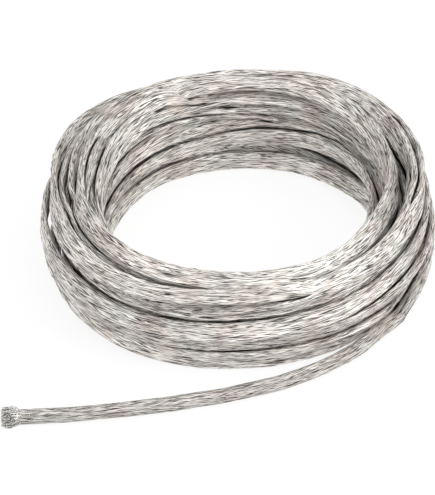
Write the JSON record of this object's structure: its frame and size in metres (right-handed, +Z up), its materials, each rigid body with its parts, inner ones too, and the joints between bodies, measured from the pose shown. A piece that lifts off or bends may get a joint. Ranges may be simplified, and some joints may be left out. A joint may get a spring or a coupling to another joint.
{
  "type": "flexible busbar braid",
  "caption": "Round coil of bare tinned-copper flexible braid, pressed to a flat oval in its turns, with one free end led off along the floor.",
  "frame": {"origin": "middle of the footprint of the coil with its free end, on the floor that it lies on", "axes": "+Z up from the floor, along the coil's axis; +Y from the free end's side of the coil to its far side; +X to the right when seen from the free end's side"},
  "size_m": [0.4106, 0.4786, 0.1002],
  "materials": {
    "tinned_copper": "bare tinned copper wire, woven, satin"
  },
  "bodies": {
    "root": {"coil": "tinned_copper", "free_end": "tinned_copper"}
  },
  "joints": []
}
